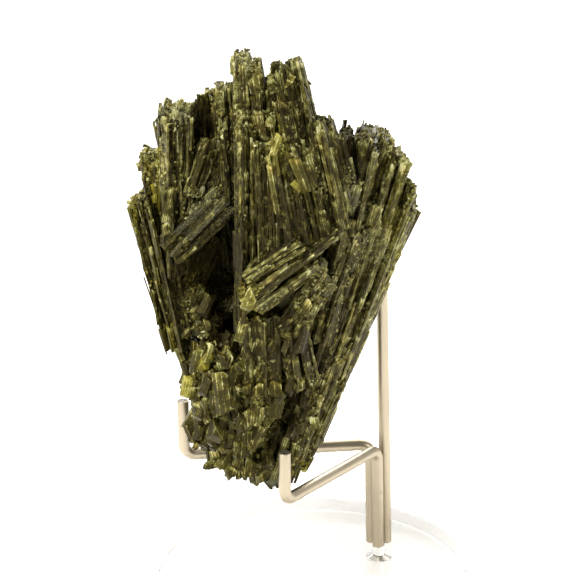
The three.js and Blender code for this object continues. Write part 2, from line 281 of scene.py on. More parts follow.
bmesh.ops.bevel(
    disc, geom=rings[0] + rings[1], offset=BASE_BEVEL, offset_type="OFFSET", segments=4,
    profile=0.5, affect="EDGES", material=-1,
)
bmesh.ops.recalc_face_normals(disc, faces=disc.faces)
for face in disc.faces:
    face.smooth = abs(face.normal.z) < 0.999
for edge in disc.edges:
    edge.smooth = edge.calc_face_angle(0) < SHARP_RIM

acrylic = Finish(
    "clear_acrylic",
    {"IOR": 1.49, "Transmission Weight": 1.0, "Base Color": (0.985, 0.97, 0.94, 1)},
)
wear = acrylic.place.noise(900.0, 4.0, 0.7)
acrylic.feed("Roughness", (wear - 0.62).clamped() * 1.2 + 0.015)

shown(mesh_of("clear_base_disc", disc), "base_disc", "acrylic", acrylic.material)

# Base screw: a slotted countersunk steel screw, driven up from below through the disc
# into the foot of the rods. It stays as the model has it and gets a turned finish.
bright = Finish("turned_steel", {"Metallic": 1.0})
turning = bright.place.noise(2500.0, 3.0)
bright.feed("Base Color", bright.graph.mixed(turning, (0.62, 0.6, 0.56, 1), (0.8, 0.78, 0.74, 1)))
bright.feed("Roughness", turning * 0.2 + 0.22)
bright.bump(turning, 0.00002, 0.4)
screw = nodes["base_screw"]
screw.data.materials.clear()
screw.data.materials.append(bright.material)

# Rods: three lengths of 3 mm drawn stainless wire, satin, bent cold and joined side by
# side at the post. Two turn level at 38 mm, run out as arms and end in upright hooks;
# the tall one stands behind the specimen. Their cut ends are plain and slightly rough.
ROD_RADIUS = 0.0015
ROD_STEPS = 40
ROD_BEND = 0.003
ROD_BEND_STEPS = 14
END_BEVEL = 0.00018
ROD_FOOT = 0.0103
ARM_LEVEL = 0.038


def bent_rod(corners):
    """A round rod along straight runs and round bends, with its cut ends as material 1."""
    corners = [Vector(c) for c in corners]
    bm = bmesh.new()
    start = (corners[1] - corners[0]).normalized()
    turn = start.to_track_quat("Z", "Y").to_matrix().to_4x4()
    made = bmesh.ops.create_circle(bm, cap_ends=False, segments=ROD_STEPS, radius=ROD_RADIUS)
    bmesh.ops.transform(bm, verts=made["verts"], matrix=turn)
    bmesh.ops.translate(bm, verts=made["verts"], vec=corners[0])
    ring = bottom = bm.edges[:]
    place = corners[0].copy()
    for i in range(1, len(corners)):
        ahead = (corners[i] - corners[i - 1]).normalized()
        stop = corners[i]
        if i + 1 < len(corners):
            onward = (corners[i + 1] - corners[i]).normalized()
            bend = ahead.angle(onward)
            cut = ROD_BEND * math.tan(bend / 2)
            stop = corners[i] - ahead * cut
        made = bmesh.ops.extrude_edge_only(bm, edges=ring)["geom"]
        verts = [g for g in made if isinstance(g, bmesh.types.BMVert)]
        ring = [g for g in made if isinstance(g, bmesh.types.BMEdge)]
        bmesh.ops.translate(bm, verts=verts, vec=stop - place)
        place = stop
        if i + 1 < len(corners):
            axis = ahead.cross(onward).normalized()
            centre = stop + axis.cross(ahead) * ROD_BEND
            made = bmesh.ops.spin(
                bm, geom=verts + ring, cent=centre, axis=axis, dvec=(0, 0, 0),
                angle=bend, steps=ROD_BEND_STEPS, use_merge=False,
            )["geom_last"]
            ring = [g for g in made if isinstance(g, bmesh.types.BMEdge)]
            place = corners[i] + onward * cut
    caps = bmesh.ops.edgeloop_fill(bm, edges=bottom)["faces"]
    caps += bmesh.ops.edgeloop_fill(bm, edges=ring)["faces"]
    bmesh.ops.remove_doubles(bm, verts=bm.verts, dist=1e-7)
    rims = [e for e in bm.edges if any(len(f.verts) > 4 for f in e.link_faces)]
    bmesh.ops.bevel(
        bm, geom=rims, offset=END_BEVEL, offset_type="OFFSET", segments=3,
        profile=0.5, affect="EDGES", material=-1,
    )
    bmesh.ops.recalc_face_normals(bm, faces=bm.faces)
    for face in bm.faces:
        face.smooth = len(face.verts) <= 4
        face.material_index = 0 if face.smooth else 1
    return bm


drawn = Finish("satin_drawn_steel", {"Metallic": 1.0})
pits = drawn.place.noise(700.0, 5.0, 0.7)
stain = drawn.place.noise(90.0, 3.0)
fine = drawn.place.noise(4500.0, 2.0)
metal = drawn.graph.mixed(stain, (0.4, 0.34, 0.245, 1), (0.58, 0.5, 0.375, 1))
specks = (1 - ((pits - 0.68) * 9).clamped()) * 0.75 + 0.25
# Dark spots of the joint on the posts: x, y, z, radius.
WELD_SPOTS = [(0.0181, 0.0079, 0.0262, 0.0007), (0.0184, 0.0079, 0.0125, 0.0006)]
scorch = None
for x, y, z, radius in WELD_SPOTS:
    away = drawn.graph.add(
        "ShaderNodeVectorMath", {"operation": "DISTANCE"}, {0: drawn.place, 1: (x, y, z)}, "Value",
    )
    spot = (1 - away / radius).clamped()
    scorch = spot if scorch is None else scorch.math("MAXIMUM", scorch, spot)
shade = specks * (1 - scorch * 0.7)
every_channel = dict.fromkeys(("Red", "Green", "Blue"), shade)
grey = drawn.graph.add("ShaderNodeCombineColor", None, every_channel)
drawn.feed("Base Color", drawn.graph.mixed(1.0, metal, grey, "MULTIPLY"))
drawn.feed("Roughness", fine * 0.16 + stain * 0.12 + 0.26)
drawn.bump(fine + pits * 0.5, 0.00002, 0.5)

sawn = Finish("cut_rod_end", {"Metallic": 1.0})
scratches = sawn.place.noise(1800.0, 5.0, 0.75)
sawn.feed("Base Color", scratches.ramp((0.42, (0.1, 0.09, 0.08, 1)), (0.58, (0.55, 0.5, 0.44, 1))))
sawn.feed("Roughness", scratches * 0.3 + 0.35)
sawn.bump(scratches, 0.00006, 0.6)

ROD_LINES = {
    "rod_front_hook": [
        (0.0173, 0.0094, ROD_FOOT), (0.0167, 0.0094, ARM_LEVEL),
        (-0.0072, -0.0226, ARM_LEVEL), (-0.00725, -0.0228, 0.0512),
    ],
    "rod_left_hook": [
        (0.0157, 0.0123, ROD_FOOT), (0.015, 0.0125, ARM_LEVEL),
        (-0.0331, 0.0058, ARM_LEVEL), (-0.0333, 0.0056, 0.0532),
    ],
    "rod_back_support": [(0.0194, 0.0121, ROD_FOOT), (0.0167, 0.0142, 0.112)],
}
for node, corners in ROD_LINES.items():
    rod = mesh_of("steel_" + node, bent_rod(corners))
    shown(rod, node, "steel", drawn.material, sawn.material)

# Heart of the epidote: the grown-together body of the specimen, which lies just under
# the fine crystals. It is the model's own solid, drawn in a little so that only the
# fine crystals reach the surface, and coloured nearly black as painted shade between them.
HEART_DEPTH = 0.00035

heart = bmesh.new()
heart.from_mesh(nodes["epidote"].data)
bmesh.ops.remove_doubles(heart, verts=heart.verts, dist=2e-6)
bmesh.ops.dissolve_degenerate(heart, edges=heart.edges, dist=1e-6)
surface_tree = BVHTree.FromBMesh(heart)
heart.normal_update()
drawn_in = [(v, v.co - v.normal * HEART_DEPTH) for v in heart.verts]
for vert, position in drawn_in:
    vert.co = position

dark = Finish(
    "epidote_heart_painted_shade",
    {"IOR": 1.74, "Specular IOR Level": 0.3, "Specular Tint": (1.0, 0.92, 0.6, 1)},
)
streak = dark.place.stretched(900.0, 900.0, 90.0).noise(1.0, 4.0)
cloud = dark.place.noise(160.0, 3.0)
depth = streak * 0.6 + cloud * 0.4
# Painted shade: the heart's colour runs from nearly black to a dark olive, so the gaps between the
# fine crystals look deep in shade.
dark.feed("Base Color", depth.ramp((0.35, (0.012, 0.012, 0.004, 1)), (0.7, (0.1, 0.1, 0.025, 1))))
dark.feed("Roughness", cloud * 0.3 + 0.25)
dark.bump(streak, 0.0003, 0.7)
shown(mesh_of("epidote_heart", heart), "epidote", "epidote", dark.material)

# Fine crystals of the sheaves: epidote prisms 0.3 to 2.5 mm thick, striped lengthwise,
# grown side by side into larger ones and broken off at different heights. Their places
# follow the model's larger crystals, whose rows and random steps are repeated here.
MIDDLE_Y = -0.009
POINT = 0.000247
OVERLAP = 1.35
TIP_SLOPE = (0.15, 0.9)

# root picture x, y, depth (mm); tip the same; breadth at root and tip (points);
# thickness at root and tip (mm); crystals across; in depth; unevenness (points).
SHEAVES = [
    (247, 150, 8, 242, 50, 4, 20, 12, 10, 6, 1, 1, 1),
    (266, 150, 8, 251, 57, 4, 18, 13, 10, 7, 1, 1, 1),
    (314, 190, 10, 285, 58, 4, 32, 26, 12, 8, 3, 1, 3),
    (290, 160, 10, 274, 69, 5, 16, 10, 10, 6, 1, 1, 2),
    (270, 170, 10, 263, 80, 6, 26, 24, 8, 6, 2, 1, 4),
    (232, 200, 7, 226, 79, 1, 20, 20, 12, 9, 2, 1, 6),
    (342, 215, 12, 322, 111, 4, 22, 14, 10, 8, 2, 1, 6),
    (292, 225, 17, 268, 98, 11, 36, 36, 8, 6, 3, 1, 10),
    (248, 304, 15, 247, 112, 12, 20, 18, 9, 7, 2, 1, 12),
    (272, 264, 17, 266, 130, 15, 26, 26, 8, 6, 3, 1, 20),
    (300, 242, 18, 279, 133, 16, 28, 26, 8, 5, 3, 1, 12),
    (322, 234, 17, 298, 140, 15, 22, 20, 8, 5, 2, 1, 10),
    (304, 194, 21, 284, 142, 17, 12, 11, 5, 4, 1, 1, 2),
    (338, 228, 14, 315, 116, 10, 18, 16, 9, 7, 2, 1, 8),
    (353, 206, 9, 331, 124, 5, 14, 14, 11, 8, 1, 1, 3),
    (243, 332, 9, 243, 196, 9, 8, 8, 20, 20, 1, 2, 20),
    (246, 276, 20, 304, 238, 20, 10, 9, 5, 5, 1, 1, 3),
    (246, 300, 21, 343, 226, 18, 11, 9, 6, 5, 1, 1, 3),
    (256, 308, 19, 326, 256, 17, 12, 12, 6, 6, 1, 1, 5),
    (284, 330, 15, 334, 268, 14, 20, 24, 7, 6, 3, 1, 12),
    (296, 338, 17, 313, 298, 18, 9, 12, 4, 3, 1, 1, 3),
    (262, 388, 14, 259, 306, 16, 36, 34, 8, 8, 3, 1, 8),
    (304, 378, 13, 290, 312, 15, 26, 24, 8, 8, 2, 1, 8),
    (320, 300, 0, 355, 128, -3, 20, 26, 14, 14, 2, 1, 5),
    (336, 300, 1, 378, 128, -2, 22, 32, 16, 18, 3, 1, 5),
    (350, 300, 1, 400, 143, -4, 18, 24, 16, 18, 2, 1, 8),
    (360, 310, 0, 411, 174, -5, 12, 14, 14, 16, 1, 1, 8),
    (314, 440, -1, 414, 199, -4, 10, 9, 16, 18, 1, 2, 8),
    (306, 420, 6, 392, 200, 5, 22, 28, 8, 8, 2, 1, 24),
    (302, 400, 9, 370, 195, 8, 22, 28, 7, 7, 2, 1, 26),
    (320, 340, 11, 356, 215, 11, 20, 26, 6, 6, 2, 1, 16),
    (300, 458, 0, 341, 366, -1, 12, 12, 14, 16, 1, 1, 6),
    (283, 472, 3, 332, 345, 7, 24, 30, 8, 8, 2, 1, 18),
    (296, 452, 6, 316, 376, 8, 14, 18, 8, 8, 1, 1, 4),
    (175, 270, 4, 172, 100, 0, 22, 20, 14, 14, 2, 1, 5),
    (190, 232, 6, 184, 98, 0, 16, 18, 10, 10, 2, 1, 6),
    (168, 246, 12, 167, 184, 9, 9, 8, 4, 4, 1, 1, 2),
    (216, 190, -2, 208, 88, -6, 26, 32, 10, 10, 2, 1, 5),
    (192, 196, 10, 213, 134, 5, 14, 14, 6, 6, 2, 1, 8),
    (208, 202, 8, 226, 142, 3, 12, 12, 6, 6, 2, 1, 6),
    (170, 250, 10, 228, 193, 9, 26, 28, 7, 6, 3, 1, 8),
    (184, 300, 5, 214, 226, -3, 24, 26, 8, 8, 2, 1, 9),
    (178, 342, 1, 142, 191, -4, 20, 24, 16, 18, 3, 1, 3),
    (186, 330, 6, 156, 200, 1, 14, 18, 8, 8, 2, 1, 8),
    (166, 250, -2, 150, 148, -5, 16, 18, 12, 12, 1, 1, 6),
    (226, 360, -3, 222, 200, -10, 32, 40, 6, 6, 2, 1, 12),
    (262, 440, -13, 252, 80, -12, 36, 60, 12, 13, 2, 1, 8),
    (236, 430, -11, 194, 104, -12, 30, 62, 12, 13, 2, 1, 10),
    (292, 440, -10, 352, 142, -11, 34, 66, 10, 11, 2, 1, 9),
    (252, 455, -14, 250, 140, -21, 34, 80, 9, 11, 3, 1, 26),
    (280, 450, -13, 316, 180, -19, 28, 48, 9, 11, 2, 1, 14),
    (300, 440, -9, 384, 178, -14, 20, 34, 8, 9, 2, 1, 12),
    (226, 440, -12, 178, 210, -16, 20, 44, 9, 11, 2, 1, 8),
    (262, 466, -10, 284, 286, -21, 30, 56, 9, 9, 2, 1, 8),
]


def seen(px, py, depth):
    """The place at a picture position, this many mm in front of the middle plane."""
    ray = VIEW_ALONG.copy()
    ray.x += (px - PICTURE / 2) / FOCAL_POINTS
    ray += VIEW_UP * (PICTURE / 2 - py) / FOCAL_POINTS
    return EYE + ray * ((MIDDLE_Y - depth / 1000 - EYE.y) / ray.y)


def picture_of(points):
    """Picture x and y of an array of places."""
    away = points - np.array(EYE)
    reach = away @ np.array(VIEW_ALONG)
    px = PICTURE / 2 + away[:, 0] / reach * FOCAL_POINTS
    py = PICTURE / 2 - away @ np.array(VIEW_UP) / reach * FOCAL_POINTS
    return px, py


class Steps:
    """Repeatable random numbers in the same order as in the model."""

    def __init__(self, seed):
        self.seed = seed

    def within(self, low, high):
        self.seed = (self.seed * 1664525 + 1013904223) % 4294967296
        return low + (high - low) * self.seed / 4294967296


def large_crystals(row, steps):
    """The large crystals of one sheaf, as the model has them."""
    rx, ry, rd, tx, ty, td, *spans, across, deep_count, uneven = row
    root_wide, tip_wide, root_deep, tip_deep = spans
    length = math.hypot(tx - rx, ty - ry)
    ax, ay = (ry - ty) / length, (tx - rx) / length
    for i in range(across):
        for j in range(deep_count):
            a = (i + 0.5) / across - 0.5 + steps.within(-0.1, 0.1) / across
            b = (j + 0.5) / deep_count - 0.5
            shorter = steps.within(0, 1) * uneven
            nearer = steps.within(-0.8, 0.8)
            root = seen(rx + ax * root_wide * a, ry + ay * root_wide * a, rd - root_deep * b)
            tip = seen(
                tx + ax * tip_wide * a + (rx - tx) / length * shorter,
                ty + ay * tip_wide * a + (ry - ty) / length * shorter,
                td - tip_deep * b + nearer,
            )
            size = OVERLAP * steps.within(0.85, 1.1)
            sides = 4 + int(steps.within(0, 1.1))
            phase = steps.within(0, 2 * math.pi)
            slant = steps.within(0, 2 * math.pi)
            root_span = (root_wide / across * POINT * size, root_deep / deep_count * size / 1000)
            tip_span = (tip_wide / across * POINT * size, tip_deep / deep_count * size / 1000)
            slope = steps.within(*TIP_SLOPE) * tip_span[0]
            angles = [
                phase + (k + steps.within(-0.18, 0.18)) * 2 * math.pi / sides for k in range(sides)
            ]
            axis = (tip - root).normalized()
            wide = Vector((ax, 0, -ay))
            wide = (wide - axis * wide.dot(axis)).normalized()
            yield {
                "root": np.array(root), "tip": np.array(tip), "axis": np.array(axis),
                "wide": np.array(wide), "deep": np.array(axis.cross(wide)),
                "root_span": np.array(root_span), "tip_span": np.array(tip_span),
                "slant": slant, "slope": slope,
                "corners": np.array([(math.cos(a) / 2, math.sin(a) / 2) for a in angles]),
            }


def crystal_form(sides, groove, cuts, foot_cuts):
    """A unit crystal 4 high and 1 across. Grooves sink every other edge; each cut
    breaks the top (or foot) off along a plane given by its height and slope."""
    bm = bmesh.new()
    bmesh.ops.create_cone(bm, cap_ends=True, segments=sides, radius1=0.5, radius2=0.5, depth=4)
    bmesh.ops.translate(bm, verts=bm.verts, vec=(0, 0, 2))
    for vert in bm.verts:
        step = round(math.atan2(vert.co.y, vert.co.x) / (2 * math.pi) * sides)
        if step % 2:
            vert.co.xy *= 1 - groove
    planes = [(*cut, 1) for cut in cuts] + [(*cut, -1) for cut in foot_cuts]
    for height, lean_x, lean_y, way in planes:
        cut = bmesh.ops.bisect_plane(
            bm, geom=bm.verts[:] + bm.edges[:] + bm.faces[:], dist=1e-5,
            plane_co=(0, 0, height), plane_no=(lean_x, lean_y, way), clear_outer=True,
        )["geom_cut"]
        bmesh.ops.edgenet_fill(bm, edges=[g for g in cut if isinstance(g, bmesh.types.BMEdge)])
    bmesh.ops.recalc_face_normals(bm, faces=bm.faces)
    bm.normal_update()
    bm.verts.index_update()
    corners, sizes, pattern, layout = [], [], [], []
    bm.verts.ensure_lookup_table()
    edge_at = math.atan2(bm.verts[0].co.y, bm.verts[0].co.x) / (2 * math.pi) * sides
    for face in bm.faces:
        sizes.append(len(face.verts))
        middle = face.calc_center_median()
        on_side = abs(face.normal.z) < 0.35
        facing = math.atan2(middle.y, middle.x) / (2 * math.pi) % 1
        for vert in face.verts:
            corners.append(vert.index)
            turn = math.atan2(vert.co.y, vert.co.x) / (2 * math.pi) % 1
            turn += round(facing - turn)
            if on_side:
                pattern.append((turn * sides - edge_at, vert.co.z))
                round_it = (turn + 0.5 / sides) / (1 + 1 / sides)
                layout.append((0.04 + 0.92 * round_it, 0.26 + 0.7 * vert.co.z / 4))
            else:
                pattern.append((vert.co.x + 0.5, vert.co.y * 4))
                side = 0.27 if vert.co.z > 2 else 0.73
                layout.append((side + vert.co.x * 0.35, 0.12 + vert.co.y * 0.2))
    points = np.array([v.co for v in bm.verts])
    bm.free()
    upper = points[:, 2] > 2
    return {
        "xy": points[:, :2], "part": upper.astype(float),
        "end": np.where(upper, points[:, 2] - 4, points[:, 2]),
        "corners": np.array(corners), "sizes": np.array(sizes),
        "pattern": np.array(pattern), "layout": np.array(layout), "count": len(points),
    }


def grown(name, rows):
    """One mesh of all the small crystals in rows, each a copy of one of the forms."""
    cells = math.ceil(math.sqrt(len(rows["kind"])))
    points, corners, sizes, patterns, layouts, looks = [], [], [], [], [], []
    offset = 0
    for kind, form in enumerate(FORMS):
        at = np.flatnonzero(rows["kind"] == kind)
        if not len(at):
            continue
        part = form["part"][None, :, None]
        root, tip = rows["root"][at][:, None], rows["tip"][at][:, None]
        thick = rows["root_size"][at][:, None] * (1 - part) + rows["tip_size"][at][:, None] * part
        length = np.linalg.norm(tip - root, axis=2, keepdims=True)
        axis = (tip - root) / length
        xy = form["xy"][None]
        place = root * (1 - part) + tip * part
        place = place + rows["wide"][at][:, None] * (xy[:, :, :1] * thick[:, :, :1])
        place = place + rows["deep"][at][:, None] * (xy[:, :, 1:] * thick[:, :, 1:])
        place = place + axis * form["end"][None, :, None] * thick.mean(axis=2, keepdims=True)
        points.append(place.reshape(-1, 3))
        step = np.arange(len(at))[:, None] * form["count"]
        corners.append((form["corners"][None] + step + offset).ravel())
        offset += len(at) * form["count"]
        sizes.append(np.tile(form["sizes"], len(at)))
        shift = rows["shift"][at][:, None]
        pattern = np.stack(
            (
                form["pattern"][None, :, 0] + np.floor(shift * 997),
                form["pattern"][None, :, 1] / 4 * length[:, 0] * 1000 + shift * 91,
            ),
            axis=2,
        )
        patterns.append(pattern.reshape(-1, 2))
        cell = np.stack((at % cells, at // cells), axis=1)[:, None]
        layouts.append(((form["layout"][None] + cell) / cells).reshape(-1, 2))
        look = np.repeat(rows["look"][at][:, None], form["count"], axis=1)
        look[:, :, 3] = (1 - part[:, :, 0]) * length[:, :, 0] * 1000 + look[:, :, 3]
        looks.append(look.reshape(-1, 4))
    points, corners, sizes = np.concatenate(points), np.concatenate(corners), np.concatenate(sizes)
    mesh = bpy.data.meshes.new(name)
    mesh.vertices.add(len(points))
    mesh.vertices.foreach_set("co", points.ravel().astype(np.float32))
    mesh.loops.add(len(corners))
    mesh.loops.foreach_set("vertex_index", corners.astype(np.int32))
    mesh.polygons.add(len(sizes))
    mesh.polygons.foreach_set("loop_start", (np.cumsum(sizes) - sizes).astype(np.int32))
    for map_name, values in (("Striae", patterns), ("OFBake", layouts)):
        layer = mesh.uv_layers.new(name=map_name)
        layer.data.foreach_set("uv", np.concatenate(values).ravel().astype(np.float32))
    look = mesh.attributes.new("look", "FLOAT_COLOR", "POINT")
    look.data.foreach_set("color", np.concatenate(looks).ravel().astype(np.float32))
    mesh.update(calc_edges=True)
    mesh.validate()
    mesh.shade_flat()
    shown(mesh, "epidote", "epidote", striped.material)


def rod_clearance(points):
    """Distance from each point to the nearest rod's centre line."""
    nearest = np.full(len(points), 1.0)
    for corners in ROD_LINES.values():
        for a, b in zip(corners, corners[1:]):
            a, b = np.array(a), np.array(b)
            t = np.clip((points - a) @ (b - a) / ((b - a) @ (b - a)), 0, 1)
            nearest = np.minimum(nearest, np.linalg.norm(points - a - t[:, None] * (b - a), axis=1))
    return nearest


# Zones seen in the picture: x, y, half width, half height (points), how much darker
# (-) or lighter (+), how sugary and grey, how yellow.
# Painted shade and light: the darker zones paint shade into the crystals' colour, deepest in the
# cavity left of the middle sheaf and in the gaps between sheaves; the lighter zones are partly the
# crystals' paler colour, partly painted light on lit faces.
ZONES = [
    (222, 250, 21, 66, -0.6, 0, 0), (205, 122, 14, 24, -0.5, 0, 0), (218, 298, 28, 30, -0.4, 0, 0),
    (352, 152, 27, 22, -0.5, 0, 0), (290, 410, 22, 30, -0.4, 0, 0), (144, 204, 11, 30, -0.3, 0, 0),
    (290, 205, 44, 44, -0.26, 0, 0), (200, 264, 22, 36, -0.3, 0, 0.05),
    (285, 95, 26, 26, -0.1, 0, 0), (330, 345, 30, 80, 0.0, 0.15, 0),
    (215, 428, 22, 10, -0.35, 0, 0), (238, 410, 58, 64, -0.07, 0, 0),
    (242, 404, 20, 10, -0.3, 0, 0), (212, 376, 9, 8, -0.4, 0, 0), (132, 240, 6, 60, 0.3, 0, 0.3),
    (174, 150, 16, 46, 0.26, 0.1, 0), (150, 290, 14, 60, 0.1, 0, 0.1),
    (278, 345, 14, 34, -0.2, 0, 0), (300, 345, 10, 30, -0.25, 0, 0),
    (180, 322, 8, 26, -0.15, 0, 0), (210, 206, 34, 26, -0.05, 0.42, 0),
    (355, 205, 18, 50, 0.0, 0.42, 0), (330, 272, 22, 22, -0.1, 0.45, 0),
    (232, 270, 8, 60, -0.45, 0, 0), (262, 190, 6, 50, -0.25, 0, 0),
    (300, 215, 10, 30, -0.25, 0, 0), (180, 118, 14, 16, 0.1, 0.6, 0),
    (246, 62, 14, 16, 0.1, 0.45, 0), (376, 240, 24, 40, 0.1, 0.35, 0),
    (278, 145, 9, 18, 0.35, 0, 0.4), (301, 183, 8, 12, 0.25, 0, 0.35),
    (157, 199, 4, 9, 0.2, 0, 1.0), (206, 362, 6, 10, 0.3, 0, 0.8), (187, 386, 7, 13, 0.25, 0, 0.7),
    (250, 296, 14, 18, 0.3, 0, 0.2), (300, 468, 9, 8, 0.2, 0, 0.7), (256, 172, 14, 80, 0.08, 0, 0),
    (395, 290, 14, 110, 0.15, 0, 0.25), (190, 95, 34, 10, 0.25, 0.1, 0.2),
    (410, 170, 14, 40, 0.2, 0.15, 0.1), (150, 160, 14, 24, 0.2, 0.2, 0.1),
    (172, 345, 8, 16, 0.25, 0, 0.5), (368, 262, 40, 80, 0.1, 0.1, 0),
    (265, 400, 20, 16, 0.15, 0.15, 0.1), (235, 420, 54, 60, 0.0, 0.16, 0.06),
]


def looks_at(points, tones):
    """Tone, sugar and yellow glow of crystals at these places, from the zones in view; the zones
    add painted shade and painted light to the tone.
    """
    px, py = picture_of(points)
    look = np.zeros((len(points), 4))
    look[:, 0] = tones
    front = points[:, 1] < 0.004
    for x, y, half_wide, half_high, lighter, sugar, yellow_glow in ZONES:
        inside = np.exp(-(((px - x) / half_wide) ** 2 + ((py - y) / half_high) ** 2) ** 1.5) * front
        # painted shade and light added to the crystal's tone
        look[:, 0] += inside * lighter
        look[:, 1] = np.maximum(look[:, 1], inside * sugar)
        look[:, 2] = np.maximum(look[:, 2], inside * yellow_glow)
    look[:, 0] = np.clip(look[:, 0], 0, 1)
    return look


FORMS = [
    crystal_form(6, 0.0, [(3.9, 0.5, 0.2)], [(0.1, 0.3, 0)]),
    crystal_form(6, 0.0, [(3.8, 0.9, 0.3), (3.9, -0.7, 0.2)], [(0.2, -0.4, 0.3)]),
    crystal_form(8, 0.16, [(3.85, 0.4, -0.5)], [(0.1, 0.5, 0.2)]),
    crystal_form(8, 0.12, [(3.7, -0.9, 0.4), (3.95, 0.6, 0.5)], [(0.2, 0.5, -0.2)]),
    crystal_form(5, 0.0, [(3.7, 1.1, 0.2)], [(0.1, 0.2, 0.6)]),
    crystal_form(10, 0.1, [(3.9, 0.3, 0.6), (3.9, -0.4, -0.3)], [(0.1, 0, 0.4)]),
]


def start_rows():
    """Empty lists, one for each property of the small crystals of a piece."""
    names = ("kind", "root", "tip", "wide", "deep", "root_size", "tip_size", "tone", "shift")
    return {name: [] for name in names}


def add_crystal(rows, dice, root, tip, facing, size, tip_size, tone, kind=None):
    """One small crystal from root to tip, its flat side turned roughly to facing."""
    axis = (tip - root) / np.linalg.norm(tip - root)
    facing = facing - axis * (facing @ axis)
    facing = facing / np.linalg.norm(facing)
    side = np.cross(axis, facing)
    turn = dice.normal(0, 0.22)
    rows["kind"].append(dice.randint(len(FORMS)) if kind is None else kind)
    rows["root"].append(root)
    rows["tip"].append(tip)
    rows["wide"].append(side * math.cos(turn) + facing * math.sin(turn))
    rows["deep"].append(facing * math.cos(turn) - side * math.sin(turn))
    rows["root_size"].append(size)
    rows["tip_size"].append(tip_size)
    rows["tone"].append(tone)
    rows["shift"].append(dice.rand())


LOOSEST = 0.0007  # farthest that a crystal may lie outside the model's surface
BURIED = 0.0005  # depth past which a crystal doesn't show
ROD_GAP = 0.00025


def settled(rows, loosest=LOOSEST):
    """Arrays of the rows that show, lie close to the model's surface and stay clear of
    the rods, with their looks."""
    rows = {name: np.array(values) for name, values in rows.items()}
    half = np.maximum(rows["root_size"].max(axis=1), rows["tip_size"].max(axis=1)) / 2
    keep = np.ones(len(half), bool)
    for t in np.linspace(0, 1, 9):
        clear = rod_clearance(rows["root"] * (1 - t) + rows["tip"] * t)
        keep &= clear > ROD_RADIUS + ROD_GAP + half
    hidden = np.ones(len(half), bool)
    for t in (0.05, 0.35, 0.65, 0.98):
        for i in np.flatnonzero(keep):
            point = rows["root"][i] * (1 - t) + rows["tip"][i] * t
            spot, normal, _, distance = surface_tree.find_nearest(point)
            outside = (Vector(point) - spot).dot(normal) > 0
            keep[i] = not (outside and distance > loosest)
            hidden[i] &= not outside and distance > half[i] + BURIED
    keep &= ~hidden
    rows = {name: values[keep] for name, values in rows.items()}
    rows["look"] = looks_at(rows["root"] * 0.4 + rows["tip"] * 0.6, rows.pop("tone"))
    return rows


BLADE_WIDTH, BLADE_LENGTH = 0.001, 0.010
LOOSE_WIDTH, LOOSE_LENGTH = 0.0008, 0.004
TOP_WIDTH = 0.0009
THINNEST = 0.0003
LOOSE_PER_AREA = 70000  # a square metre
# Painted light and shade: a blade standing out from its crystal's flat side gets a lighter tone,
# one sunk into it a darker one.
PROUD_PAINTED_LIGHTER = 450  # tone for each metre above the flat side


def about(dice, usual, ratio, least, most):
    """A random size round the usual one, between these bounds."""
    return np.clip(dice.lognormal(math.log(usual), ratio), least, most)


